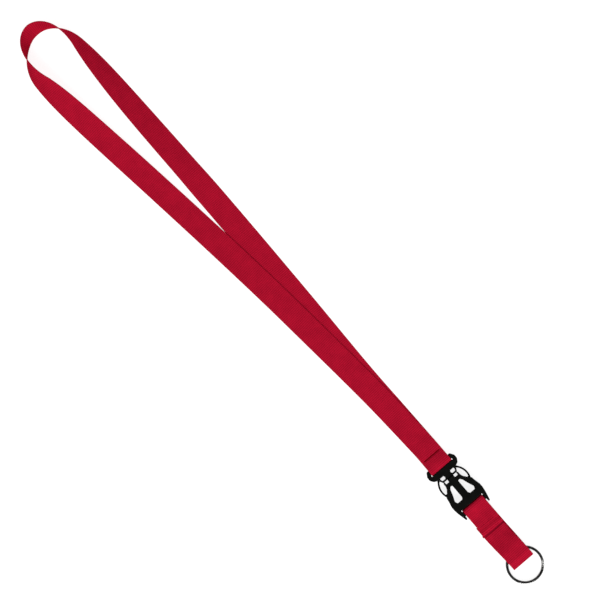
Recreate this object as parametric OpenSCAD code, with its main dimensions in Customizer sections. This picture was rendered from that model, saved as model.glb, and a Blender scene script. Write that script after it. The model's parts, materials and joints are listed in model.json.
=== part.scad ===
// Neck lanyard lying flat: a webbing neck loop, a side-release buckle, a short key strap and a split ring.
// X runs across the straps, Y from the ring towards the neck loop, Z up from the surface it lies on.

/* [Webbing] */
// Width of both straps
web_w = 19; // [15:0.5:24]
// Thickness of the webbing
web_t = 0.9; // [0.7:0.05:1.1]
// Gap between webbing layers that lie on each other
layer_gap = 0.05; // [0.05:0.05:0.1]

/* [Neck loop] */
// Distance from the plug's bar to the widest place of the crown
neck_len = 414; // [300:1:520]
// Half the crown's width, between the middles of the two legs
crown_half_w = 20; // [14:0.5:26]
// Height of the crown beyond its widest place
crown_rise = 29; // [20:0.5:38]
// How far the webbing is rolled at the crown: 0 lies flat, 90 stands on its edge
crown_roll = 121; // [90:1:125]
// Length of webbing folded back and sewn at the plug
neck_lap = 13; // [11:0.5:18]
// Distance from the plug's bar to the row of stitches
neck_seam_y = 9; // [8.5:0.5:10]

/* [Buckle] */
// Overall thickness of the socket
socket_h = 7; // [6.4:0.1:8.5]
// Thickness of the socket's front and back plates
plate_t = 1.8; // [1.4:0.1:2]
// Thickness of the plug's frame
plug_h = 4.4; // [3.8:0.1:5]
// Radius of the two bars that carry the straps
bar_r = 2; // [1.6:0.1:2.2]
// Distance between the plug's bar and the socket's bar
bar_pitch = 39.6; // [38.4:0.2:48]
// Room on each side of a strap in its slot
slot_side = 0.6; // [0.3:0.1:1]
// Width of the lug beside each strap slot
lug_w = 3.2; // [2.6:0.1:4.2]
// Half width of the plug's stem
stem_half_w = 2.3; // [1.8:0.1:2.5]
// Running gap of the stem in its guide
stem_gap = 0.12; // [0.08:0.02:0.2]
// Outer radius of the curved part of each prong
prong_r = 12.7; // [12:0.1:14]
// Thickness of the curved part of each prong
prong_t = 1.4; // [1:0.1:1.8]
// Depth that each barb catches behind its lip
barb_catch = 0.95; // [0.7:0.05:1.1]

/* [Key strap] */
// Distance from the ring's centre to the socket's bar
key_len = 58.2; // [50:0.2:80]
// Distance from the ring's centre to the outside of the fold that holds it
fold_reach = 1.8; // [0.5:0.1:3]
// Distance from the ring's centre to the cut edge of the lap
lap_edge_y = 35; // [33:0.5:36]
// Length of the lap under that edge
lap_len = 9; // [7:0.5:10]

/* [Split ring] */
// Outer radius of the ring
ring_r = 14.35; // [12:0.05:17.3]
// Width of the flattened wire
wire_w = 2; // [1.6:0.1:2.4]
// Height of the two coils together
ring_h = 2.8; // [2:0.1:3.2]
// Slope of the ring, which lies with one side on the strap
ring_tilt = 3; // [2:0.5:4]

/* [Hidden] */
$fn = 64;

// Straps
strap_red = "crimson";
half_web = web_w / 2;
layer = web_t + layer_gap;
wrap_gap = 0.1;
wrap_r = bar_r + wrap_gap + web_t / 2;
wrap_steps = 14;
drop_len = 8.2;
bar_z = socket_h / 2;
stitches = 9;
seam_margin = 1.9;
stitch_pitch = (web_w - 2 * seam_margin) / stitches;

// Each leg's route, as [share of the leg's length, share of the crown's width to the left]
left_route = [
    [0.1, 0.029], [0.18, 0.076], [0.29, 0.171], [0.435, 0.307],
    [0.58, 0.47], [0.725, 0.651], [0.87, 0.842]
];
right_route = [
    [0.12, 0.01], [0.22, 0.021], [0.4, -0.006], [0.615, -0.018], [0.83, 0.001], [0.94, 0]
];
route_start_y = neck_lap + 2;
leg_steps = 7;
crown_steps = 34;
overlap_end = 0.6;
overlap_fall = 0.12;
sewn_end_y = 5;

// Roll of the webbing away from the crown, as [half-value distance, steepness]
left_fade = [38.7, 2];
right_fade = [43.6, 1.44];
flatten_start = 160;
flatten_len = 40;

// Heights: a strap's middle surface when it lies on none, one or two layers
lying_z = web_t / 2;
second_z = lying_z + layer;
third_z = lying_z + 2 * layer;

// Buckle, measured from the plug's bar towards the ring
slot_half = half_web + slot_side;
plug_half = slot_half + lug_w;
slot_front = 0.2;
slot_end = wrap_r + web_t / 2 + slot_front;
neck_end = 12.1;
mouth = neck_end + 0.15;
mouth_half = 7;
cavity_h = socket_h - 2 * plate_t;
cavity_clear = 0.1;
blade_h = cavity_h - 2 * cavity_clear;
guide_start = mouth + 2.1;
guide_len = 2.7;
lip_start = 22.5;
lip_end = 24.3;
cavity_end = bar_pitch - 9;
socket_half = slot_half + lug_w + 0.5;
shoulder_half = socket_half - 1.5;
tip_reach = bar_pitch + 4.7;
wall_t = 0.65;
barb_x = shoulder_half - wall_t - 0.15;
lip_x = barb_x - barb_catch;
prong_centre = 17.2;
prong_root = 8.4;

// Ring and the fold around it
ring_z = ring_r * sin(ring_tilt) + ring_h / 2 * cos(ring_tilt);
ring_top = ring_z + ring_r * sin(ring_tilt) + ring_h / 2 * cos(ring_tilt);
fold_clear = 0.2;
fold_top = ring_top + fold_clear + web_t / 2;
fold_r = (fold_top - lying_z) / 2;
fold_y = fold_reach + web_t / 2 + fold_r;
fold_flat_end = ring_r + 1;
fold_fall_end = lap_edge_y - 4;

// The key strap's folds aren't square: how far it stands to the side at the fold and at the lap
fold_shift = 0.6;
lap_shift = -0.8;
key_drop = 7;

// Lanyard's own places: the ring's centre is at Y = 0
socket_bar_y = key_len;
plug_bar_y = key_len + bar_pitch;
crown_y = plug_bar_y + neck_len;

// ---- Functions ----

function ease(f) = let (g = min(max(f, 0), 1)) g * g * (3 - 2 * g);
function between(a, b, f) = a + (b - a) * ease(f);
function unit(v) = v / norm(v);

// One step of a smooth curve through points b and c, with a and d beyond them
function blend4(a, b, c, d, f) =
    0.5 * ((2 * b) + (c - a) * f + (2 * a - 5 * b + 4 * c - d) * f * f
    + (3 * b - a - 3 * c + d) * f * f * f);

// A smooth curve through a list of points
function smooth(points, steps) =
    let (last = len(points) - 1)
    [for (i = [0:last - 1])
        let (a = points[max(i - 1, 0)], d = points[min(i + 2, last)])
        for (k = [0:steps - 1]) blend4(a, points[i], points[i + 1], d, k / steps)];

// A polygon with its corners rounded to radius r where there is room
function rounded(points, r) =
    let (n = len(points))
    [for (i = [0:n - 1])
        let (
            p = points[i],
            a = unit(points[(i + n - 1) % n] - p),
            b = unit(points[(i + 1) % n] - p),
            half_angle = acos(min(max(a * b, -1), 1)) / 2,
            room = min(norm(points[(i + n - 1) % n] - p), norm(points[(i + 1) % n] - p)) * 0.45,
            cut = min(r / tan(half_angle), room),
            radius = cut * tan(half_angle),
            centre = p + unit(a + b) * radius / sin(half_angle),
            from = p + a * cut - centre,
            to = p + b * cut - centre
        )
        for (f = [0:0.25:1]) centre + unit(from * (1 - f) + to * f) * radius];

function flip_x(points) = [for (i = [len(points) - 1:-1:0]) [-points[i][0], points[i][1]]];
function both_sides(points) = concat(points, flip_x(points));

// ---- Neck strap route ----

// Roll of the webbing at a distance along it from the crown's apex
function roll_at(s, fade) =
    crown_roll / (1 + pow(s / fade[0], fade[1])) * (1 - ease((s - flatten_start) / flatten_len));

// Height of the middle of webbing that is rolled and rests on its lower edge
function rest_z(roll) = web_t / 2 * abs(cos(roll)) + half_web * sin(roll);

// Extra height of the upper leg, which lies on the lower leg up to the place where they part
function upper_lift(d) =
    layer * (2 - ease((d - neck_lap) / neck_lap))
    * (1 - ease((d / neck_len - overlap_end) / overlap_fall));
function lower_lift(d) = layer * (1 - ease((d - neck_lap) / neck_lap));

function crown_point(a) = [
    -crown_half_w + crown_half_w * cos(a),
    crown_y + crown_rise * sin(a)
];
crown_first = 194;
crown_arc = [for (i = [0:crown_steps]) crown_point(crown_first - crown_first * i / crown_steps)];

function leg_point(p) = [-2 * crown_half_w * p[1], plug_bar_y + neck_len * p[0]];
left_points = smooth(
    concat([[0, plug_bar_y + route_start_y]], [for (p = left_route) leg_point(p)], [crown_arc[0]]),
    leg_steps
);
right_points = smooth(
    concat([crown_arc[crown_steps]],
        [for (i = [len(right_route) - 1:-1:0]) leg_point(right_route[i])],
        [[0, plug_bar_y + route_start_y]]),
    leg_steps
);

// Plan of the whole run from the plug up the left leg, round the crown and down the right leg
plan = concat(left_points, crown_arc, [for (i = [1:len(right_points) - 1]) right_points[i]]);
left_count = len(left_points);
apex = left_count + round(crown_steps * (crown_first - 90) / crown_first);

// Distance along the plan to each of its points
function run_to(i) = i == 0 ? 0 : norm(plan[i] - plan[i - 1]);
function running(list, i = 0, total = 0) =
    i == len(list) ? [] : concat([total + run_to(i)], running(list, i + 1, total + run_to(i)));
plan_run = running(plan);

function plan_station(i) =
    let (
        s = plan_run[i] - plan_run[apex],
        roll = roll_at(abs(s), s < 0 ? left_fade : right_fade),
        d = plan[i][1] - plug_bar_y,
        lift = s < 0 ? upper_lift(d) : lower_lift(d),
        heading = unit(plan[min(i + 1, len(plan) - 1)] - plan[max(i - 1, 0)])
    )
    [
        [plan[i][0], plan[i][1], rest_z(roll) + lift],
        [heading[1] * cos(roll), -heading[0] * cos(roll), sin(roll)]
    ];

across = [1, 0, 0];
function flat_station(y, z, x = 0) = [[x, y, z], across];

// The turn round a bar, from one side of the strap to the other
function turn(y, z, r, a0, a1, x = 0) =
    [for (i = [0:wrap_steps])
        let (a = a0 + (a1 - a0) * i / wrap_steps)
        flat_station(y + r * cos(a), z + r * sin(a), x)];

neck_route = concat(
    [for (d = [neck_lap:-1:1])
        flat_station(plug_bar_y + d, between(bar_z - wrap_r, lying_z, d / drop_len))],
    turn(plug_bar_y, bar_z, wrap_r, 270, 90),
    [for (d = [1:1:neck_lap])
        flat_station(plug_bar_y + d, between(bar_z + wrap_r, third_z, d / drop_len))],
    [for (i = [0:len(plan) - 1]) plan_station(i)],
    [for (d = [neck_lap:-2:sewn_end_y]) flat_station(plug_bar_y + d, second_z)]
);

// ---- Key strap route ----

function under_x(y) = between(fold_shift, 0, (y - fold_y) / (socket_bar_y - drop_len - fold_y));
function lap_x(y) = between(lap_shift / 2, 0, (y - lap_edge_y) / lap_len);
function over_x(y) = between(fold_shift, lap_shift, (y - fold_y) / (lap_edge_y - fold_y));

key_route = concat(
    [for (y = [lap_edge_y:1.5:lap_edge_y + lap_len + 2]) flat_station(y, third_z, lap_x(y))],
    [for (d = [key_drop + 2:-1:1])
        flat_station(socket_bar_y - d, between(bar_z + wrap_r, third_z, d / key_drop))],
    turn(socket_bar_y, bar_z, wrap_r, 90, -90),
    [for (d = [1:1:drop_len])
        flat_station(socket_bar_y - d, between(bar_z - wrap_r, lying_z, d / drop_len))],
    [for (y = [socket_bar_y - drop_len - 2:-3:fold_y + 3]) flat_station(y, lying_z, under_x(y))],
    turn(fold_y, lying_z + fold_r, fold_r, -90, -270, fold_shift),
    [for (i = [1:12])
        let (y = fold_y + (fold_fall_end - fold_y) * i / 12)
        flat_station(
            y,
            between(fold_top, second_z, (y - fold_flat_end) / (fold_fall_end - fold_flat_end)),
            over_x(y)
        )],
    [for (y = [lap_edge_y:3:lap_edge_y + lap_len]) flat_station(y, second_z, lap_shift)]
);

// The four corners of a strap's section at one station of its route
function section(route, i) =
    let (
        p = route[i][0],
        along = unit(route[min(i + 1, len(route) - 1)][0] - route[max(i - 1, 0)][0]),
        w = unit(route[i][1] - along * (route[i][1] * along)) * half_web,
        n = cross(along, unit(w)) * web_t / 2
    )
    [p - w - n, p + w - n, p + w + n, p - w + n];

neck_sections = [for (i = [0:len(neck_route) - 1]) section(neck_route, i)];
key_sections = [for (i = [0:len(key_route) - 1]) section(key_route, i)];

// Origin: the middle of the whole lanyard's box, on the surface it lies on
neck_corners = [for (s = neck_sections) for (p = s) p];
low_x = min([for (p = neck_corners) p[0]]);
high_x = max(ring_r, socket_half);
low_y = -ring_r * cos(ring_tilt) - ring_h / 2 * sin(ring_tilt);
high_y = max([for (p = neck_corners) p[1]]);
origin = [(low_x + high_x) / 2, (low_y + high_y) / 2, 0];

// ---- Shared shapes ----

module ribbon(sections) {
    last = len(sections) - 1;
    polyhedron(
        points = [for (s = sections) for (p = s) p],
        faces = concat(
            [[0, 1, 2], [0, 2, 3]],
            [for (i = [0:last - 1]) for (k = [0:3]) [4 * i + k, 4 * i + 4 + k, 4 * i + (k + 1) % 4]],
            [for (i = [0:last - 1]) for (k = [0:3])
                [4 * i + 4 + k, 4 * i + 4 + (k + 1) % 4, 4 * i + (k + 1) % 4]],
            [[4 * last, 4 * last + 2, 4 * last + 1], [4 * last, 4 * last + 3, 4 * last + 2]]
        )
    );
}

module placed() {
    translate(-origin) children();
}

// Draws in the buckle's frame: Y runs from the plug's bar towards the ring
module on_buckle() {
    placed() translate([0, plug_bar_y, 0]) mirror([0, 1, 0]) children();
}

module plate(points, z, h) {
    translate([0, 0, z]) linear_extrude(h) polygon(points);
}

module strap_bar(y) {
    translate([-slot_half - 1, y, bar_z]) rotate([0, 90, 0]) cylinder(r = bar_r, h = 2 * slot_half + 2);
}

// ---- Neck loop ----

module neck_strap() {
    color(strap_red) placed() ribbon(neck_sections);
}

// A close row of stitches through the three layers at the plug
module neck_seam() {
    color("darkred") placed()
        for (i = [0:stitches - 1])
            translate([(i - (stitches - 1) / 2) * stitch_pitch, plug_bar_y + neck_seam_y, 0.1])
                linear_extrude(third_z + web_t / 2) square([stitch_pitch * 0.7, 1], center = true);
}

// ---- Buckle plug ----

plug_outline = [
    [plug_half - 2.1, -bar_r],
    [plug_half, 1.4],
    [plug_half, slot_end + 1.2],
    [plug_half - 1.7, slot_end + 3.8],
    [mouth_half + 1.7, slot_end + 5.1],
    [mouth_half - 0.1, neck_end - 0.4],
    [mouth_half - 0.1, neck_end]
];

neck_hole = [
    [stem_half_w + 0.7, prong_root - 0.3],
    [mouth_half - 0.1, prong_root - 0.3],
    [mouth_half - 0.9, prong_root + 2.3],
    [stem_half_w + 0.7, prong_root + 2.3]
];

module buckle_plug() {
    frame_z = bar_z - plug_h / 2;
    blade_z = bar_z - blade_h / 2;
    stem_end = cavity_end - 0.6;
    color("black") on_buckle() {
        difference() {
            plate(rounded(both_sides(plug_outline), 1.3), frame_z, plug_h);
            translate([-slot_half, -bar_r - 1, frame_z - 1]) cube([2 * slot_half, slot_end + bar_r + 1, plug_h + 2]);
            plate(rounded(neck_hole, 0.7), frame_z - 1, plug_h + 2);
            mirror([1, 0, 0]) plate(rounded(neck_hole, 0.7), frame_z - 1, plug_h + 2);
            prong_seat();
            mirror([1, 0, 0]) prong_seat();
        }
        strap_bar(0);
        // Stem that runs in the socket's guide
        plate(rounded([
            [-stem_half_w, neck_end - 1],
            [stem_half_w, neck_end - 1],
            [stem_half_w, stem_end - 2],
            [stem_half_w - 1, stem_end],
            [1 - stem_half_w, stem_end],
            [-stem_half_w, stem_end - 2]
        ], 0.4), blade_z, blade_h);
    }
}

// ---- Prongs: the plug's two spring arms ----

root_angle = asin((prong_root - prong_centre) / prong_r);
pad_angle = asin((lip_start - 0.5 - prong_centre) / prong_r);
prong_mid_r = prong_r - prong_t / 2;
pivot_x = prong_mid_r * cos(root_angle);
pivot_y = prong_centre + prong_mid_r * sin(root_angle);
pivot_r = prong_t / 2 + 0.2;
seat_gap = 0.04;

function arc_points(r, a0, a1, steps) =
    [for (i = [0:steps])
        let (a = a0 + (a1 - a0) * i / steps)
        [r * cos(a), prong_centre + r * sin(a)]];

prong_head = [
    [lip_x - 0.1, lip_start - 0.6],
    [lip_x - 0.1, lip_end + 0.12],
    [barb_x, lip_end + 0.12],
    [barb_x - 0.2, lip_end + 1.2],
    [lip_x - 0.6, lip_end + 4],
    [lip_x - 1.3, lip_end + 4],
    [lip_x - 1.5, lip_start],
    [lip_x - 0.5, lip_start - 2.5],
    [lip_x + 0.5, lip_start - 2.5]
];

// The round seat in the plug's base where the arm bends
module prong_seat() {
    translate([pivot_x, pivot_y, 0]) cylinder(r = pivot_r + seat_gap, h = socket_h);
    plate(concat(
        arc_points(prong_r + 0.3, root_angle, root_angle + 16, 4),
        arc_points(prong_r - prong_t - 0.5, root_angle + 16, root_angle, 4)
    ), 0, socket_h);
}

module prong() {
    blade_z = bar_z - blade_h / 2;
    translate([pivot_x, pivot_y, blade_z]) cylinder(r = pivot_r, h = blade_h);
    plate(concat(
        arc_points(prong_r, root_angle, pad_angle, 12),
        arc_points(prong_r - prong_t, pad_angle, root_angle, 12)
    ), blade_z, blade_h);
    plate(prong_head, blade_z, blade_h);
}

module right_prong() {
    color("black") on_buckle() prong();
}

module left_prong() {
    color("black") on_buckle() mirror([1, 0, 0]) prong();
}

// ---- Buckle socket ----

socket_outline = [
    [mouth_half, mouth],
    [mouth_half + 0.2, mouth + 3.2],
    [mouth_half + 0.9, mouth + 5.3],
    [mouth_half + 2.2, mouth + 6.9],
    [lip_x + 0.1, lip_start - 1.5],
    [shoulder_half, lip_start],
    [shoulder_half + 0.3, lip_end + 0.6],
    [socket_half, cavity_end - 0.5],
    [socket_half, cavity_end + 2.5],
    [socket_half - 0.6, bar_pitch - 2.5],
    [socket_half - 2.2, tip_reach],
    [slot_half + 0.3, tip_reach - 0.2],
    [slot_half, bar_pitch]
];

// See-through wedge on each side of the middle rib
wedge = [
    [stem_half_w + 0.6, mouth + 5.4],
    [mouth_half - 2.5, mouth + 5.3],
    [mouth_half - 1.1, mouth + 7.1],
    [mouth_half, mouth + 10.8],
    [mouth_half + 2.2, cavity_end - 2.2],
    [mouth_half + 1.3, cavity_end],
    [stem_half_w + 1.5, cavity_end],
    [stem_half_w + 0.6, cavity_end - 1.6]
];

mouth_notch = [
    [stem_half_w + 0.6, mouth - 1],
    [mouth_half - 1.4, mouth - 1],
    [mouth_half - 1.4, guide_start],
    [stem_half_w + 0.6, guide_start]
];

module buckle_socket() {
    guide_end = guide_start + guide_len;
    color("black") on_buckle() {
        difference() {
            plate(rounded(both_sides(socket_outline), 0.9), 0, socket_h);
            // Cavity between the plates, with the guide, the lips and the side walls left in
            difference() {
                plate([
                    [-socket_half, mouth - 1],
                    [socket_half, mouth - 1],
                    [barb_x + 0.15, lip_end],
                    [barb_x + 0.15, cavity_end - 2],
                    [barb_x - 1, cavity_end],
                    [1 - barb_x, cavity_end],
                    [-barb_x - 0.15, cavity_end - 2],
                    [-barb_x - 0.15, lip_end]
                ], plate_t, cavity_h);
                socket_guide(guide_end);
                mirror([1, 0, 0]) socket_guide(guide_end);
                translate([lip_x, lip_start, 0]) cube([socket_half, lip_end - lip_start, socket_h]);
                translate([-lip_x - socket_half, lip_start, 0])
                    cube([socket_half, lip_end - lip_start, socket_h]);
            }
            socket_cuts();
            mirror([1, 0, 0]) socket_cuts();
            // Strap slot, with the bar put back below
            translate([-slot_half, bar_pitch - slot_end, -1])
                cube([2 * slot_half, slot_end + tip_reach, socket_h + 2]);
        }
        strap_bar(bar_pitch);
    }
}

// Wall beside the stem at the mouth
module socket_guide(guide_end) {
    translate([stem_half_w + stem_gap, guide_start, 0])
        cube([mouth_half, guide_end - guide_start, socket_h]);
    translate([mouth_half - 1.4, mouth, 0]) cube([mouth_half, guide_end - mouth, socket_h]);
}

module socket_cuts() {
    plate(rounded(wedge, 0.8), -1, socket_h + 2);
    plate(mouth_notch, -1, socket_h + 2);
}

// ---- Key strap ----

module key_strap() {
    color(strap_red) placed() ribbon(key_sections);
}

// Two rows of stitches through the lap
module key_seam() {
    color("darkred") placed()
        for (y = [lap_edge_y + 1.6, lap_edge_y + lap_len - 1.6], i = [0:stitches - 1])
            translate([(i - (stitches - 1) / 2) * stitch_pitch, y, 0.1])
                linear_extrude(third_z + web_t / 2) square([stitch_pitch * 0.7, 0.6], center = true);
}

// ---- Split ring ----

// Two coils of flattened wire, pressed together
module split_ring() {
    corner = 0.35;
    groove = 0.15;
    color("silver") placed() translate([0, 0, ring_z]) rotate([ring_tilt, 0, 0])
        rotate_extrude($fn = 96)
            translate([ring_r - wire_w, -ring_h / 2])
                polygon(rounded([
                    [0, 0],
                    [wire_w, 0],
                    [wire_w, ring_h / 2 - groove],
                    [wire_w - groove, ring_h / 2],
                    [wire_w, ring_h / 2 + groove],
                    [wire_w, ring_h],
                    [0, ring_h],
                    [0, ring_h / 2 + groove],
                    [groove, ring_h / 2],
                    [0, ring_h / 2 - groove]
                ], corner));
}

neck_strap();
neck_seam();
buckle_plug();
left_prong();
right_prong();
buckle_socket();
key_strap();
key_seam();
split_ring();
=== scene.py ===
"""Looks of a neck lanyard lying flat: ribbed webbing, a moulded side-release buckle and a split ring."""
import json
import math

import bmesh
import bpy
import numpy as np
from mathutils import Matrix, Vector


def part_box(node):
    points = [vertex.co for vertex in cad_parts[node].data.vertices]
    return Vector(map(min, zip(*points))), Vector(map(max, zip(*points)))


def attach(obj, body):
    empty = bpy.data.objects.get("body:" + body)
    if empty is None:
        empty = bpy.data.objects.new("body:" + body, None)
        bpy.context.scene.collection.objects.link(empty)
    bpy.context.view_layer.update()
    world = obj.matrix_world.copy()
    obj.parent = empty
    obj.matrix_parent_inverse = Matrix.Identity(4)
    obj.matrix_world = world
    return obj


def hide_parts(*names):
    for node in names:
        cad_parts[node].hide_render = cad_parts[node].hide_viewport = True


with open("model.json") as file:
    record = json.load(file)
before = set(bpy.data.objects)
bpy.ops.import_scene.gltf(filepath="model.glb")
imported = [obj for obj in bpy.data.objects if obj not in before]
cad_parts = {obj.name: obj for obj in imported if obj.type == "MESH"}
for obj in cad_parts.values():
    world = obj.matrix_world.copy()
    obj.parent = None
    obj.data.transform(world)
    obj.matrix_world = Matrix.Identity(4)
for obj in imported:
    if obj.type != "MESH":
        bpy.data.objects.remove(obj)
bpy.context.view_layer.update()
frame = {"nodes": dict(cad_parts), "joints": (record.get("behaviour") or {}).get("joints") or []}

# ---- Driving dimensions, in metres ----

MM = 0.001
JOINTS = {j["name"]: j for j in frame["joints"]}
PLUG_BAR = Vector(JOINTS["plug_hinge"]["pos_m"])
SOCKET_BAR = Vector(JOINTS["key_hinge"]["pos_m"])
RING_CENTRE = Vector(JOINTS["ring_spin"]["pos_m"])
RING_AXIS = Vector(JOINTS["ring_spin"]["axis"]).normalized()
RING_LOW, RING_HIGH = (Vector(c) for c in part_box("split_ring"))

WEB_W = 19 * MM
WEB_T = 0.9 * MM
LAYER = WEB_T + 0.05 * MM
BAR_R = 2 * MM
WRAP_R = BAR_R + 0.1 * MM + WEB_T / 2
BAR_Z = PLUG_BAR.z
FULL_R = WRAP_R + 0.24 * MM
LYING_Z = WEB_T / 2
SECOND_Z = LYING_Z + LAYER
THIRD_Z = LYING_Z + 2 * LAYER
DROP = 8.2 * MM

# Neck loop
NECK_LEN = 414 * MM
CROWN_HALF_W = 20 * MM
CROWN_RISE = 29 * MM
CROWN_ROLL = math.radians(121)
# Seen from above the crown is an ellipse, from this angle on the left leg's side round to 0
CROWN_FIRST = 194
CROWN_STEPS = 34
# How far from the top the crown's lean has halved, on either leg, and how sharply it fades
LEFT_FADE = (38.7 * MM, 2)
RIGHT_FADE = (43.6 * MM, 1.44)
FLATTEN_START, FLATTEN_LEN = 160 * MM, 40 * MM
# Where the left leg comes down off the right one, as shares of the neck's length
APART_FROM, APART_LEN = 0.6, 0.12
NECK_LAP = 13 * MM
# How high the buckle holds the strap, and the stretch on which that fades
HELD_UP, HELD_FROM, HELD_LEN = 2 * MM, 4 * MM, 50 * MM
# Millimetres from the bar, and the share of the rise to its top that is left there
PLUG_CREST = [(1, 1.0), (2, 0.99), (3, 0.9), (4, 0.75), (5, 0.57), (6, 0.38), (7, 0.21), (8, 0.08)]
NECK_SEAM_Y = PLUG_BAR.y + 9 * MM
SEAM_HALF, SEAM_REACH, SEAM_PITCH = 7.6 * MM, 0.5 * MM, 0.6 * MM
SEAM_THREAD_R, SEAM_THREAD_SUNK = 0.16 * MM, 0.3 * MM
LOWER_THREAD_R, LOWER_THREAD_Z = 0.12 * MM, 0.16 * MM
SEAM_PRESS_HALF, SEAM_PRESS, SEAM_SPREAD = 7.2 * MM, 0.34 * MM, 0.8 * MM
# Each leg's middle line: share of the neck's length, and how far left as a share of the crown's width
LEFT_ROUTE = [
    (0.1, 0.029), (0.18, 0.076), (0.29, 0.171), (0.435, 0.307),
    (0.58, 0.47), (0.725, 0.651), (0.87, 0.842),
]
RIGHT_ROUTE = [(0.12, 0.01), (0.22, 0.021), (0.4, -0.006), (0.615, -0.018), (0.83, 0.001), (0.94, 0)]

# Key strap
FOLD_REACH = 1.8 * MM
LAP_EDGE = 35 * MM
LAP_LEN = 9 * MM
# As PLUG_CREST, at the socket's bar
KEY_CREST = [(1, 0.98), (2, 0.91), (3, 0.7), (4, 0.44), (5, 0.27), (6, 0.18), (8, 0.06)]
FOLD_DROOP, DROOP_LEN = 1.2 * MM, 3.5 * MM
FOLD_SHIFT = 0.6 * MM
LAP_SHIFT = -0.8 * MM
LAP_SWELL, SWELL_LEN = 0.8 * MM, 6 * MM
CORNER_FLARE, FLARE_LEN = 1.3 * MM, 1.6 * MM
LAP_PRESS_BACK, LAP_PRESS, LAP_SPREAD = 0.2 * MM, 0.12 * MM, 0.6 * MM
LAP_ROW_HALF, LAP_ROW_INSET = 6.8 * MM, 1.6 * MM
LAP_STITCH, LAP_STITCH_GAP, LAP_THREAD_R = 1.6 * MM, 0.5 * MM, 0.13 * MM

# Split ring
RING_R = (RING_HIGH.x - RING_LOW.x) / 2
WIRE_W = 2 * MM
COILS_H = 2.8 * MM
WIRE_CORNER = 0.4 * MM
# The angle round the ring at which its ends meet, how far each stops short of it, and half the stretch
# on which the wire crosses to the other coil
ENDS_DEG, END_GAP_DEG, CROSSOVER_DEG = -36, 17, 22
END_TAPER = (0.72, 0.93)
RING_ROWS = 300


# ---- Small helpers ----

def ease(f):
    g = np.clip(f, 0, 1)
    return g * g * (3 - 2 * g)


def between(a, b, f):
    return a + (b - a) * float(ease(f))


def unit(v):
    return v / np.linalg.norm(v, axis=-1, keepdims=True)


def new_object(name, verts, faces):
    mesh = bpy.data.meshes.new(name)
    mesh.from_pydata([tuple(v) for v in verts], [], [tuple(f) for f in faces])
    mesh.update()
    mesh.shade_smooth()
    obj = bpy.data.objects.new(name, mesh)
    bpy.context.scene.collection.objects.link(obj)
    return obj


def finish_piece(obj, body, material, node):
    """Gives a piece its material and body, in place of the CAD node it stands for."""
    obj.data.materials.clear()
    obj.data.materials.append(material)
    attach(obj, body)
    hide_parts(node)


# ---- Material helpers ----

def new_material(name):
    mat = bpy.data.materials.new(name)
    mat.use_nodes = True
    tree = mat.node_tree
    return mat, tree, tree.nodes["Principled BSDF"]


def add(tree, kind, **values):
    node = tree.nodes.new(kind)
    for key, value in values.items():
        setattr(node, key, value)
    return node


def math_node(tree, operation, a, b=None):
    node = add(tree, "ShaderNodeMath", operation=operation)
    for socket, value in zip(node.inputs, (a, b)):
        if value is None:
            continue
        if isinstance(value, (int, float)):
            socket.default_value = value
        else:
            tree.links.new(value, socket)
    return node.outputs[0]


def weighted(tree, *terms):
    """The sum of the sockets, each times its own weight."""
    total = None
    for socket, weight in terms:
        part = socket if weight == 1 else math_node(tree, "MULTIPLY", socket, weight)
        total = part if total is None else math_node(tree, "ADD", total, part)
    return total


def noise(tree, vector, scale, detail, dimensions="3D"):
    node = add(tree, "ShaderNodeTexNoise", noise_dimensions=dimensions)
    node.inputs["Scale"].default_value = scale
    node.inputs["Detail"].default_value = detail
    tree.links.new(vector, node.inputs["Vector"])
    return node.outputs[0]


def stretched(tree, vector, along):
    """The vector with its second part multiplied, which draws a pattern out along the piece."""
    node = add(tree, "ShaderNodeMapping")
    node.inputs["Scale"].default_value = (1, along, 1)
    tree.links.new(vector, node.inputs[0])
    return node.outputs[0]


def bumped(tree, bsdf, height, strength, distance):
    node = add(tree, "ShaderNodeBump")
    node.inputs["Strength"].default_value = strength
    node.inputs["Distance"].default_value = distance
    tree.links.new(height, node.inputs["Height"])
    tree.links.new(node.outputs[0], bsdf.inputs["Normal"])


def set_inputs(node, values):
    for name, value in values.items():
        node.inputs[name].default_value = value


def ramp(tree, factor, stops):
    node = add(tree, "ShaderNodeValToRGB")
    element = node.color_ramp.elements
    while len(element) < len(stops):
        element.new(0.5)
    for e, (place, colour) in zip(element, stops):
        e.position = place
        e.color = (*colour, 1)
    tree.links.new(factor, node.inputs[0])
    return node.outputs[0]


def mix_colour(tree, factor, a, b):
    node = add(tree, "ShaderNodeMix", data_type="RGBA")
    tree.links.new(factor, node.inputs[0])
    node.inputs[6].default_value = (*a, 1)
    node.inputs[7].default_value = (*b, 1)
    return node.outputs[2]


# ---- Materials ----

RIB_PITCH = 1.4 * MM
YARN_PITCH = 0.55 * MM
RED, DEEP_RED = (0.42, 0.0062, 0.026), (0.2, 0.0024, 0.013)
SEAM_RED, LAP_RED = (0.2, 0.0, 0.002), (0.4, 0.004, 0.024)
BLACK = (0.0022, 0.0024, 0.0018)


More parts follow.
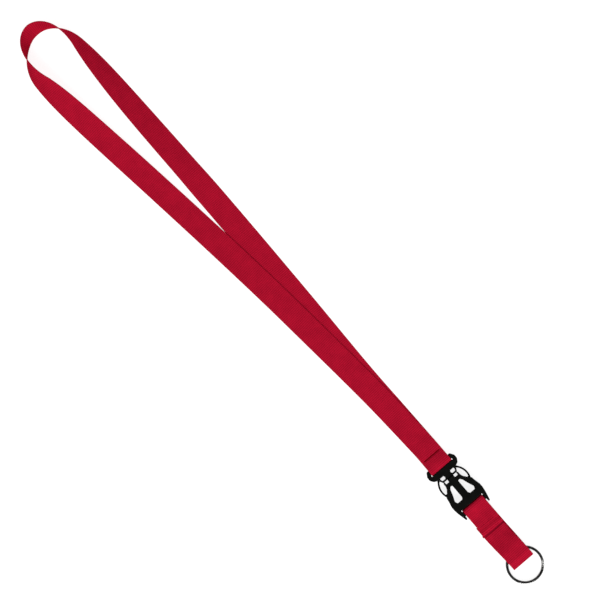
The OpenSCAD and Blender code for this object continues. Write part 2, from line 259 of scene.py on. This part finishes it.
def webbing_material(name, base, dark):
    """Ribbed polyester webbing: yarns along the strap, woven over picks that run across it."""
    mat, tree, bsdf = new_material(name)
    link = tree.links.new
    weave_map = add(tree, "ShaderNodeUVMap", uv_map="weave").outputs[0]
    split = add(tree, "ShaderNodeSeparateXYZ")
    link(weave_map, split.inputs[0])
    across, along = split.outputs[0], split.outputs[1]

    # Yarn bundles: rounded ridges along the strap, each shifted by half a rib from the next
    yarn = math_node(tree, "MULTIPLY", across, 2 * math.pi / YARN_PITCH)
    yarn_wave = math_node(tree, "COSINE", yarn)
    slow_wave = math_node(tree, "COSINE", math_node(tree, "MULTIPLY", yarn, 0.5))
    odd_or_even = math_node(tree, "SIGN", slow_wave)
    pick = math_node(tree, "MULTIPLY", along, 2 * math.pi / RIB_PITCH)
    pick_wave = math_node(tree, "COSINE", weighted(tree, (pick, 2), (odd_or_even, math.pi / 2)))
    weave = weighted(tree, (yarn_wave, 0.45), (pick_wave, 0.4))
    rib = math_node(tree, "COSINE", pick)

    # Filaments and slight unevenness of the yarns
    filament = noise(tree, stretched(tree, weave_map, 0.12), 9000, 2, "2D")
    patch = noise(tree, weave_map, 110, 3, "2D")
    bumped(tree, bsdf, weighted(tree, (weave, 1), (filament, 0.5)), 0.55, 0.06 * MM)

    # Painted shade between the ribs and yarns, and from the shade attribute: painted shade on the selvedges
    # and in pressed lines, and at cut ends partly painted shade, partly the dark heat-sealed edge
    shade = add(tree, "ShaderNodeAttribute", attribute_name="shade").outputs["Fac"]
    relief = weighted(tree, (rib, 0.26), (weave, 0.14), (patch, 0.4), (shade, -1))
    tone = math_node(tree, "ADD", relief, 0.42)
    light = tuple(min(c * 1.16, 1) for c in base)
    link(ramp(tree, tone, [(0.0, dark), (0.72, base), (1.0, light)]), bsdf.inputs["Base Color"])
    # The gloss of dyed filament yarn keeps the yarn's own colour, which the metallic lobe does
    set_inputs(bsdf, {"Metallic": 0.12, "Roughness": 0.52, "Specular IOR Level": 0.0,
                      "Specular Tint": (1.0, 0.03, 0.1, 1)})
    return mat


def thread_material(name, base):
    """Twisted sewing thread: fine plies at a slant, seen from the object's own coordinates."""
    mat, tree, bsdf = new_material(name)
    place = add(tree, "ShaderNodeTexCoord")
    wave = add(tree, "ShaderNodeTexWave", wave_type="BANDS", bands_direction="DIAGONAL")
    set_inputs(wave, {"Scale": 2600, "Distortion": 1.5})
    tree.links.new(place.outputs["Object"], wave.inputs["Vector"])
    plies = wave.outputs["Fac"]
    # Painted shade: darker between the plies, on the same bands as the bump
    colour = ramp(tree, plies, [(0.0, tuple(c * 0.55 for c in base)), (1.0, base)])
    tree.links.new(colour, bsdf.inputs["Base Color"])
    bumped(tree, bsdf, plies, 0.5, 0.04 * MM)
    set_inputs(bsdf, {"Roughness": 0.6, "Specular IOR Level": 0.02})
    return mat


def plastic_material(name, base):
    """Moulded black acetal: a fine spark texture, with paler wear where edges rub."""
    mat, tree, bsdf = new_material(name)
    link = tree.links.new
    place = add(tree, "ShaderNodeTexCoord").outputs["Object"]
    grain = noise(tree, place, 4200, 2)
    flow = noise(tree, place, 160, 4)
    edges = add(tree, "ShaderNodeNewGeometry").outputs["Pointiness"]
    worn = math_node(tree, "MULTIPLY", math_node(tree, "SUBTRACT", edges, 0.53), 5.0)
    worn = math_node(tree, "MAXIMUM", math_node(tree, "MINIMUM", worn, 1.0), 0.0)
    worn = math_node(tree, "MULTIPLY", worn, flow)
    link(mix_colour(tree, worn, base, tuple(c * 2 + 0.006 for c in base)), bsdf.inputs["Base Color"])
    link(ramp(tree, flow, [(0.3, (0.34,) * 3), (0.7, (0.46,) * 3)]), bsdf.inputs["Roughness"])
    bumped(tree, bsdf, grain, 0.18, 0.03 * MM)
    set_inputs(bsdf, {"Specular IOR Level": 0.1})
    return mat


def steel_material(name):
    """Plated spring steel with fine drawing marks along the wire and small scuffs."""
    mat, tree, bsdf = new_material(name)
    link = tree.links.new
    wire_map = add(tree, "ShaderNodeUVMap", uv_map="weave").outputs[0]
    drawn = noise(tree, stretched(tree, wire_map, 0.02), 7000, 3, "2D")
    scuff = noise(tree, wire_map, 420, 5, "2D")
    dull, bright = (0.17, 0.17, 0.165), (0.25, 0.25, 0.245)
    link(ramp(tree, scuff, [(0.3, dull), (0.6, bright)]), bsdf.inputs["Base Color"])
    link(ramp(tree, scuff, [(0.35, (0.12,) * 3), (0.75, (0.26,) * 3)]), bsdf.inputs["Roughness"])
    bumped(tree, bsdf, drawn, 0.12, 0.02 * MM)
    set_inputs(bsdf, {"Metallic": 1.0})
    return mat


# ---- Routes of the two straps: each station is a point and the direction across the strap ----

TURN_STEPS = 14


def smooth_curve(points, steps):
    """A smooth curve through the points, without its last point."""
    p = [np.array(q, float) for q in points]
    out = []
    for i in range(len(p) - 1):
        a, b, c, d = p[max(i - 1, 0)], p[i], p[i + 1], p[min(i + 2, len(p) - 1)]
        for k in range(steps):
            f = k / steps
            out.append(0.5 * (2 * b + (c - a) * f + (2 * a - 5 * b + 4 * c - d) * f ** 2
                              + (3 * b - a - 3 * c + d) * f ** 3))
    return out


def flat_station(y, z, x=0.0):
    return (PLUG_BAR.x + x, y, z), (1, 0, 0)


def turn(y, z, r, first, last, x=0.0):
    """Stations round a circle seen from the side, from one angle to another in degrees."""
    stations = []
    for i in range(TURN_STEPS + 1):
        a = math.radians(first + (last - first) * i / TURN_STEPS)
        stations.append(flat_station(y + r * math.cos(a), z + r * math.sin(a), x))
    return stations


def held_up(d):
    """How far the buckle's height keeps the neck strap off the floor, at a distance from the plug's bar."""
    return between(HELD_UP, 0, (d - HELD_FROM) / HELD_LEN)


def neck_stations():
    """From the sewn end round the plug's bar, up the left leg, round the crown and down the right leg."""
    crown_y = PLUG_BAR.y + NECK_LEN
    start = (0.0, PLUG_BAR.y + NECK_LAP + 2 * MM)

    def leg(route):
        return [(-2 * CROWN_HALF_W * side, PLUG_BAR.y + NECK_LEN * share) for share, side in route]

    crown = []
    for i in range(CROWN_STEPS + 1):
        a = math.radians(CROWN_FIRST * (1 - i / CROWN_STEPS))
        crown.append(np.array((CROWN_HALF_W * (math.cos(a) - 1), crown_y + CROWN_RISE * math.sin(a))))
    left = smooth_curve([start] + leg(LEFT_ROUTE) + [crown[0]], 7)
    right = smooth_curve([crown[-1]] + leg(RIGHT_ROUTE[::-1]) + [start], 7)
    plan = np.array(left + crown + right[1:])
    run = np.concatenate([[0], np.cumsum(np.linalg.norm(np.diff(plan, axis=0), axis=1))])
    apex = run[len(left) + round(CROWN_STEPS * (CROWN_FIRST - 90) / CROWN_FIRST)]

    # The sewn end, the turn round the bar and the way down on the far side of it
    route = []
    lap_steps = [k * MM for k in range(1, 14)]
    for d in lap_steps[::-1]:
        route.append(flat_station(PLUG_BAR.y + d, between(BAR_Z - FULL_R, LYING_Z + held_up(d), d / DROP)))
    route += turn(PLUG_BAR.y, BAR_Z, FULL_R, 270, 90)
    for k, rise in PLUG_CREST:
        low = THIRD_Z + held_up(k * MM)
        route.append(flat_station(PLUG_BAR.y + k * MM, low + rise * (BAR_Z + FULL_R - low)))
    for d in lap_steps[len(PLUG_CREST):]:
        route.append(flat_station(PLUG_BAR.y + d, THIRD_Z + held_up(d)))
    # The loop: flat on the floor, leaning over and standing on edge towards the crown
    for i, (x, y) in enumerate(plan):
        s = run[i] - apex
        half, power = LEFT_FADE if s < 0 else RIGHT_FADE
        flatten = 1 - ease((abs(s) - FLATTEN_START) / FLATTEN_LEN)
        roll = CROWN_ROLL / (1 + (abs(s) / half) ** power) * flatten
        d = y - PLUG_BAR.y
        settle = ease((d - NECK_LAP) / NECK_LAP)
        if s < 0:
            lift = LAYER * (2 - settle) * (1 - ease((d / NECK_LEN - APART_FROM) / APART_LEN))
        else:
            lift = LAYER * (1 - settle)
        z = WEB_T / 2 * abs(math.cos(roll)) + WEB_W / 2 * math.sin(roll) + lift + held_up(d)
        hx, hy = unit(plan[min(i + 1, len(plan) - 1)] - plan[max(i - 1, 0)])
        route.append(((PLUG_BAR.x + x, y, z), (hy * math.cos(roll), -hx * math.cos(roll), math.sin(roll))))
    for d in range(13, 4, -2):
        route.append(flat_station(PLUG_BAR.y + d * MM, SECOND_Z + held_up(d * MM)))
    return route


def lap_swell(d):
    """How far the lap stands off the layer below, at a distance from its cut edge."""
    return LAP_SWELL * math.sin(math.pi * min(d / SWELL_LEN, 1)) ** 2


def key_stations():
    """From the lap's cut edge round the socket's bar, along the floor, round the ring and under the lap."""
    ring_y = RING_CENTRE.y
    top = RING_HIGH.z + 0.2 * MM + WEB_T / 2
    fold_r = (top - FOLD_DROOP - LYING_Z) / 2
    fold_y = ring_y + FOLD_REACH + WEB_T / 2 + fold_r
    flat_end = ring_y + RING_R + 1 * MM
    fall_end = ring_y + LAP_EDGE - 4 * MM
    lap = ring_y + LAP_EDGE
    under_end = SOCKET_BAR.y - DROP

    def over_x(y):
        return between(FOLD_SHIFT, LAP_SHIFT, (y - fold_y) / (lap - fold_y))

    route = []
    # The lap, from its cut edge to the socket's bar
    for k in range(12):
        y = lap + k * MM
        shift = between(LAP_SHIFT / 2, 0, k * MM / LAP_LEN)
        route.append(flat_station(y, THIRD_Z + lap_swell(k * MM), shift))
    for k, rise in reversed(KEY_CREST):
        route.append(flat_station(SOCKET_BAR.y - k * MM, THIRD_Z + rise * (BAR_Z + FULL_R - THIRD_Z)))
    route += turn(SOCKET_BAR.y, BAR_Z, FULL_R, 90, -90)
    for k in range(1, 9):
        route.append(flat_station(SOCKET_BAR.y - k * MM, between(BAR_Z - FULL_R, LYING_Z, k * MM / DROP)))
    # Flat on the floor as far as the fold, over the ring and back down under the lap
    y = under_end - 2 * MM
    while y > fold_y + 3 * MM:
        shift = between(FOLD_SHIFT, 0, (y - fold_y) / (under_end - fold_y))
        route.append(flat_station(y, LYING_Z, shift))
        y -= 3 * MM
    route += turn(fold_y, LYING_Z + fold_r, fold_r, -90, -270, x=FOLD_SHIFT)
    steps = 24
    for i in range(1, steps + 1):
        y = fold_y + (fall_end - fold_y) * i / steps
        z = between(top, SECOND_Z, (y - flat_end) / (fall_end - flat_end))
        droop = between(FOLD_DROOP, 0, (y - fold_y) / DROOP_LEN)
        route.append(flat_station(y, z - droop, over_x(y)))
    for k in range(4):
        route.append(flat_station(lap + k * 3 * MM, SECOND_Z, LAP_SHIFT))
    return route


def resample(route, step):
    """Points and across directions at even distances along a route."""
    p = np.array([r[0] for r in route])
    w = np.array([r[1] for r in route])
    s = np.concatenate([[0], np.cumsum(np.linalg.norm(np.diff(p, axis=0), axis=1))])
    both = np.hstack([p, w])
    slope = np.gradient(both, s, axis=0)
    count = int(round(s[-1] / step))
    at = np.linspace(0, s[-1], count + 1)
    i = np.clip(np.searchsorted(s, at, side="right") - 1, 0, len(s) - 2)
    h = (s[i + 1] - s[i])[:, None]
    f = ((at - s[i]) / h[:, 0])[:, None]
    curve = ((2 * f ** 3 - 3 * f ** 2 + 1) * both[i] + (f ** 3 - 2 * f ** 2 + f) * h * slope[i]
             + (3 * f ** 2 - 2 * f ** 3) * both[i + 1] + (f ** 3 - f ** 2) * h * slope[i + 1])
    points, across = curve[:, :3], curve[:, 3:]
    along = unit(np.gradient(points, axis=0))
    across = unit(across - (across * along).sum(1, keepdims=True) * along)
    return at, points, across, np.cross(along, across)


# ---- Webbing as geometry ----

COLUMNS = 14
RIB_DEPTH, EDGE_WAVE = 0.075 * MM, 0.06 * MM
EDGE_ROUND = 0.75 * WEB_T / 2
# Painted shade on the selvedges, at the cut ends (partly the dark heat-sealed edge) and in pressed lines
EDGE_SHADE, CUT_SHADE, CUT_LEN = 0.12, 0.45, 0.5 * MM
STITCH_SHADE = 0.5
PRESS_END = 0.8 * MM


def ribbon(name, route, flare=0):
    """A closed ribbed ribbon along the route, with rounded selvedges, a weave map and a shade attribute:
    painted shade on the selvedges, and at the cut ends partly painted shade, partly the dark heat-sealed
    edge.
    """
    at, points, across, normal = resample(route, RIB_PITCH / 4)
    half_w, half_t = WEB_W / 2, WEB_T / 2
    edge = EDGE_ROUND
    flat_a = np.linspace(-half_w + edge, half_w - edge, COLUMNS)
    a = np.concatenate([flat_a, [half_w - edge * 0.3, half_w, half_w - edge * 0.3],
                        flat_a[::-1], [-half_w + edge * 0.3, -half_w, -half_w + edge * 0.3]])
    side = np.concatenate([-np.ones(COLUMNS), [-0.75, 0, 0.75], np.ones(COLUMNS), [0.75, 0, -0.75]])
    is_edge = np.abs(a) > half_w - edge * 0.9
    wave = np.cos(2 * np.pi * at / RIB_PITCH)[:, None]
    height = side[None, :] * (half_t - RIB_DEPTH * (1 - wave) * (np.abs(side) > 0.9))
    reach = a[None, :] + np.sign(a)[None, :] * is_edge * EDGE_WAVE * (wave - 1)
    # Painted shade on the selvedges' sides; at the cut ends partly painted shade, partly the dark
    # heat-sealed edge
    shade = np.broadcast_to(np.where(np.abs(side) < 0.9, EDGE_SHADE, 0), height.shape).copy()
    for end in (at, at[-1] - at):
        shade += CUT_SHADE * np.exp(-(end / CUT_LEN) ** 2)[:, None]
    spread_out = flare * np.exp(-(at / FLARE_LEN) ** 2)[:, None]
    reach = reach - spread_out * (reach < 0) * np.abs(reach) / half_w
    verts = (points[:, None, :] + across[:, None, :] * reach[..., None]
             + normal[:, None, :] * height[..., None])
    rows, cols = height.shape
    index = np.arange(rows * cols).reshape(rows, cols)
    nxt = np.roll(index, -1, axis=1)
    quads = np.stack([index[:-1], nxt[:-1], nxt[1:], index[1:]], axis=-1).reshape(-1, 4)
    faces = [tuple(q) for q in quads] + [tuple(index[0][::-1]), tuple(index[-1])]
    obj = new_object(name, verts.reshape(-1, 3), faces)
    uv = obj.data.uv_layers.new(name="weave")
    place = np.stack([reach, np.broadcast_to(at[:, None], height.shape)], -1)
    loops = np.empty(len(obj.data.loops), int)
    obj.data.loops.foreach_get("vertex_index", loops)
    uv.data.foreach_set("uv", place.reshape(-1, 2)[loops].ravel())
    obj.data.attributes.new("shade", "FLOAT", "POINT").data.foreach_set("value", shade.ravel())
    mark_cut_ends(obj)
    return obj


def mark_cut_ends(obj):
    """The two flat cut faces keep crisp edges."""
    bm = bmesh.new()
    bm.from_mesh(obj.data)
    for face in bm.faces:
        if len(face.verts) > 4:
            face.smooth = False
            for e in face.edges:
                e.smooth = False
    bm.normal_update()
    bm.to_mesh(obj.data)
    bm.free()


def press(obj, y, half_x, depth, spread, above):
    """Presses what lies above a height in a soft line across the strap, and darkens it there with painted
    shade.
    """
    shade = obj.data.attributes["shade"].data
    for v, tint in zip(obj.data.vertices, shade):
        c = v.co
        if c.z < above or abs(c.y - y) > 4 * spread:
            continue
        side = abs(c.x - PLUG_BAR.x)
        inside = (1 - float(ease((side - half_x) / PRESS_END))) * math.exp(-((c.y - y) / spread) ** 2)
        c.z -= depth * inside
        # Painted shade along the pressed line
        tint.value += STITCH_SHADE * inside
    obj.data.update()


# ---- Threads ----

def tube(points, radius, sides=8):
    """Vertices and faces of a round thread along points."""
    p = np.array(points)
    along = unit(np.gradient(p, axis=0))
    up = np.array([0, 0, 1.0])
    side = unit(np.cross(along, up) + 1e-9)
    top = np.cross(side, along)
    ring = [2 * math.pi * k / sides for k in range(sides)]
    verts = np.concatenate([
        p[:, None, :] + radius * (math.cos(r) * side[:, None, :] + math.sin(r) * top[:, None, :])
        for r in ring
    ], axis=1)
    n = len(p)
    faces = []
    for i in range(n - 1):
        for k in range(sides):
            a, b = i * sides + k, i * sides + (k + 1) % sides
            faces.append((a, a + sides, b + sides, b))
    faces.append(tuple(range(sides)))
    faces.append(tuple(range((n - 1) * sides, n * sides))[::-1])
    return verts.reshape(-1, 3), faces


def joined(name, parts):
    verts, faces, base = [], [], 0
    for v, f in parts:
        verts.extend(v)
        faces.extend([tuple(k + base for k in face) for face in f])
        base += len(v)
    return new_object(name, verts, faces)


def zigzag(y, half_x, reach, pitch, z, radius):
    """A close zigzag of thread across the strap, which dips into it at either side."""
    count = int(2 * half_x / pitch) * 2
    points = []
    for i in range(count + 1):
        x = -half_x + 2 * half_x * i / count
        side = reach if i % 2 else -reach
        points.append((PLUG_BAR.x + x, y + side, z - radius * 0.6))
        if i < count:
            points.append((PLUG_BAR.x + x + half_x / count, y, z + radius * 0.35))
    return tube(smooth_curve(points, 4), radius)


def running_row(y, half_x, stitch, gap, z, radius):
    """A row of separate stitches, each a low arch that dips into the webbing at both ends."""
    parts = []
    x = -half_x
    steps = 8
    while x + stitch <= half_x + 1e-6:
        arch = []
        for k in range(steps + 1):
            f = k / steps
            lift = radius * (1.1 * math.sin(math.pi * f) - 0.6)
            arch.append((PLUG_BAR.x + x + stitch * f, y, z + lift))
        parts.append(tube(arch, radius))
        x += stitch + gap
    return parts


# ---- Buckle: the CAD shapes, with every edge rounded as moulded plastic is ----

# The remesh works in millimetres
VOXEL, MERGED = 0.13, 0.002
KEPT_FACES = 0.3
FRAME_ROUNDS, PRONG_ROUNDS = 7, 5


def moulded(node, rounds):
    """A copy of the CAD node whose edges are rounded, as a new piece."""
    mesh = frame["nodes"][node].data.copy()
    mesh.transform(Matrix.Scale(1 / MM, 4))
    bm = bmesh.new()
    bm.from_mesh(mesh)
    bmesh.ops.remove_doubles(bm, verts=bm.verts, dist=MERGED)
    bm.to_mesh(mesh)
    bm.free()
    obj = bpy.data.objects.new(node + "_moulded", mesh)
    bpy.context.scene.collection.objects.link(obj)
    skin = obj.modifiers.new("skin", "REMESH")
    skin.mode = "VOXEL"
    skin.voxel_size = VOXEL
    soften = obj.modifiers.new("soften", "SMOOTH")
    soften.factor = 0.5
    soften.iterations = rounds
    thin = obj.modifiers.new("thin", "DECIMATE")
    thin.decimate_type = "COLLAPSE"
    thin.ratio = KEPT_FACES
    graph = bpy.context.evaluated_depsgraph_get()
    done = bpy.data.meshes.new_from_object(obj.evaluated_get(graph))
    obj.modifiers.clear()
    obj.data = done
    done.transform(Matrix.Scale(MM, 4))
    done.shade_smooth()
    return obj


# ---- Split ring: one flattened wire wound through two turns ----

def split_ring_piece():
    """The wire, from one tapered end through two turns to the other, which lies on the first."""
    half_w, half_t = WIRE_W / 2, COILS_H / 4 - 0.02 * MM
    section = []
    for cx, cz, a0 in ((1, 1, 0), (-1, 1, 90), (-1, -1, 180), (1, -1, 270)):
        for k in range(4):
            a = math.radians(a0 + 30 * k)
            section.append((cx * (half_w - WIRE_CORNER) + WIRE_CORNER * math.cos(a),
                            cz * (half_t - WIRE_CORNER) + WIRE_CORNER * math.sin(a)))
    first, last = END_GAP_DEG, 720 - END_GAP_DEG
    rows = RING_ROWS
    to_ring = Vector((0, 0, 1)).rotation_difference(RING_AXIS).to_matrix()
    verts, place = [], []
    for i in range(rows + 1):
        turn_deg = first + (last - first) * i / rows
        crossed = (turn_deg - 360 + CROSSOVER_DEG) / (2 * CROSSOVER_DEG)
        level = between(-1, 1, crossed) * COILS_H / 4
        a = math.radians(ENDS_DEG + turn_deg)
        end = min(i, rows - i)
        shrink = END_TAPER[end] if end < len(END_TAPER) else 1
        for r, z in section:
            radius = RING_R - half_w + r * shrink
            p = to_ring @ Vector((radius * math.cos(a), radius * math.sin(a), level + z * shrink))
            verts.append(p + RING_CENTRE)
            place.append((r + z, RING_R * math.radians(turn_deg)))
    n = len(section)
    faces = []
    for i in range(rows):
        for k in range(n):
            a, b = i * n + k, i * n + (k + 1) % n
            faces.append((a, a + n, b + n, b))
    faces.append(tuple(range(n)))
    faces.append(tuple(range(rows * n, (rows + 1) * n))[::-1])
    obj = new_object("key_ring", verts, faces)
    bm = bmesh.new()
    bm.from_mesh(obj.data)
    bmesh.ops.recalc_face_normals(bm, faces=bm.faces)
    bm.to_mesh(obj.data)
    bm.free()
    uv = obj.data.uv_layers.new(name="weave")
    for loop, item in zip(obj.data.loops, uv.data):
        item.uv = place[loop.vertex_index]
    return obj


# ---- Camera, straight above, turned so that the lanyard lies across the frame ----

VIEW_W = 447 * MM
VIEW_MIDDLE = PLUG_BAR + Vector((0.9 * MM, 160.9 * MM, 0))
VIEW_RIGHT, VIEW_UP = Vector((0.7597, -0.6504, 0)), Vector((0.6504, 0.7597, 0))
LENS, SENSOR = 600, 36


def add_camera():
    data = bpy.data.cameras.new("camera")
    data.lens = LENS
    data.sensor_width = SENSOR
    data.clip_start, data.clip_end = 0.05, 50
    cam = bpy.data.objects.new("camera", data)
    bpy.context.scene.collection.objects.link(cam)
    place = Vector((VIEW_MIDDLE.x, VIEW_MIDDLE.y, VIEW_W * LENS / SENSOR))
    axes = Matrix((VIEW_RIGHT, VIEW_UP, Vector((0, 0, 1)))).transposed()
    cam.matrix_world = Matrix.Translation(place) @ axes.to_4x4()
    bpy.context.scene.camera = cam


# ---- Floor and light ----

FLOOR_HALF = 12.0
FLOOR_Z = -0.05 * MM
FLOOR_GREY, FLOOR_GLOW = 0.36, 0.84
# Height in the sky, and how bright it is there: dark overhead, so that no gloss mirrors white
SKY = [(0.0, 0.9), (0.88, 0.9), (0.95, 0.06), (1.0, 0.03)]
SKY_STRENGTH = 0.66


def add_floor():
    """A pale floor that stays white to the camera where it is lit and still takes the object's shadow."""
    corners = [(x * FLOOR_HALF, y * FLOOR_HALF, 0) for x, y in ((-1, -1), (1, -1), (1, 1), (-1, 1))]
    floor = new_object("floor", corners, [(0, 1, 2, 3)])
    mat = bpy.data.materials.new("floor")
    mat.use_nodes = True
    tree = mat.node_tree
    tree.nodes.clear()
    out = add(tree, "ShaderNodeOutputMaterial")
    diffuse = add(tree, "ShaderNodeBsdfDiffuse")
    diffuse.inputs[0].default_value = (FLOOR_GREY, FLOOR_GREY, FLOOR_GREY, 1)
    glow = add(tree, "ShaderNodeEmission")
    path = add(tree, "ShaderNodeLightPath")
    dull = math_node(tree, "SUBTRACT", 1.0, path.outputs["Is Glossy Ray"])
    tree.links.new(math_node(tree, "MULTIPLY", dull, FLOOR_GLOW), glow.inputs["Strength"])
    both = add(tree, "ShaderNodeAddShader")
    tree.links.new(diffuse.outputs[0], both.inputs[0])
    tree.links.new(glow.outputs[0], both.inputs[1])
    tree.links.new(both.outputs[0], out.inputs[0])
    floor.data.materials.append(mat)
    floor.location.z = FLOOR_Z


def add_area(name, place, aim, size, power):
    data = bpy.data.lights.new(name, "AREA")
    data.shape = "SQUARE"
    data.size = size
    data.energy = power
    lamp = bpy.data.objects.new(name, data)
    lamp.location = place
    lamp.rotation_euler = (Vector(aim) - Vector(place)).to_track_quat("-Z", "Y").to_euler()
    bpy.context.scene.collection.objects.link(lamp)


def add_light():
    """A pale sky that the camera sees as white, a large key light and a weak fill light."""
    world = bpy.data.worlds.new("studio")
    bpy.context.scene.world = world
    world.use_nodes = True
    tree = world.node_tree
    tree.nodes.clear()
    out = add(tree, "ShaderNodeOutputWorld")
    place = add(tree, "ShaderNodeTexCoord")
    split = add(tree, "ShaderNodeSeparateXYZ")
    tree.links.new(place.outputs["Generated"], split.inputs[0])
    lamp = add(tree, "ShaderNodeBackground")
    sky = ramp(tree, split.outputs[2], [(height, (grey,) * 3) for height, grey in SKY])
    tree.links.new(sky, lamp.inputs["Color"])
    lamp.inputs["Strength"].default_value = SKY_STRENGTH
    white = add(tree, "ShaderNodeBackground")
    white.inputs["Strength"].default_value = 1.0
    path = add(tree, "ShaderNodeLightPath")
    pick = add(tree, "ShaderNodeMixShader")
    tree.links.new(path.outputs["Is Camera Ray"], pick.inputs[0])
    tree.links.new(lamp.outputs[0], pick.inputs[1])
    tree.links.new(white.outputs[0], pick.inputs[2])
    tree.links.new(pick.outputs[0], out.inputs[0])
    middle = (PLUG_BAR.x, PLUG_BAR.y + 0.16, 0)
    add_area("key_light", (-1.3, -2.6, 2.5), middle, size=1.8, power=108)
    add_area("fill_light", (1.4, 2.4, 2.2), middle, size=2.4, power=20)


# ---- Pieces ----

def build_neck(webbing, thread):
    """The neck strap, pressed in and darkened with painted shade at its seam, with the seam's zigzag above
    and below.
    """
    strap = ribbon("neck_webbing", neck_stations())
    lift = held_up(NECK_SEAM_Y - PLUG_BAR.y)
    # Painted shade in the seam's pressed groove
    press(strap, NECK_SEAM_Y, SEAM_PRESS_HALF, SEAM_PRESS, SEAM_SPREAD, THIRD_Z + lift)
    finish_piece(strap, "neck_loop", webbing, "neck_strap")
    seam = joined("neck_stitching", [
        zigzag(NECK_SEAM_Y, SEAM_HALF, SEAM_REACH, SEAM_PITCH, z, radius)
        for z, radius in (
            (THIRD_Z + lift + WEB_T / 2 - SEAM_THREAD_SUNK, SEAM_THREAD_R),
            (lift + LOWER_THREAD_Z, LOWER_THREAD_R),
        )
    ])
    finish_piece(seam, "neck_loop", thread, "neck_seam")
    return strap


def build_key(webbing, thread):
    """The key strap, pressed in and darkened with painted shade along its lap's cut edge, with the lap's
    two rows of stitches.
    """
    strap = ribbon("key_webbing", key_stations(), flare=CORNER_FLARE)
    lap_y = RING_CENTRE.y + LAP_EDGE
    # Painted shade just under the lap's cut edge, with a slight groove
    press(strap, lap_y - LAP_PRESS_BACK, WEB_W / 2, LAP_PRESS, LAP_SPREAD, SECOND_Z)
    finish_piece(strap, "key_loop", webbing, "key_strap")
    stitches = []
    for d in (LAP_ROW_INSET, LAP_LEN - LAP_ROW_INSET):
        z = THIRD_Z + WEB_T / 2 + lap_swell(d)
        stitches += running_row(lap_y + d, LAP_ROW_HALF, LAP_STITCH, LAP_STITCH_GAP, z, LAP_THREAD_R)
    finish_piece(joined("key_stitching", stitches), "key_loop", thread, "key_seam")
    return strap


def build_buckle(plastic):
    for node, body, rounds in (
        ("buckle_plug", "plug", FRAME_ROUNDS),
        ("left_prong", "left_arm", PRONG_ROUNDS),
        ("right_prong", "right_arm", PRONG_ROUNDS),
        ("buckle_socket", "socket", FRAME_ROUNDS),
    ):
        finish_piece(moulded(node, rounds), body, plastic, node)


# ---- Build ----

add_camera()
red_webbing = webbing_material("red_webbing", RED, DEEP_RED)
neck = build_neck(red_webbing, thread_material("seam_thread", SEAM_RED))
key = build_key(red_webbing, thread_material("lap_thread", LAP_RED))
build_buckle(plastic_material("black_acetal", BLACK))
finish_piece(split_ring_piece(), "ring", steel_material("plated_steel"), "split_ring")

add_floor()
add_light()
scene = bpy.context.scene
scene.view_settings.view_transform = "Standard"
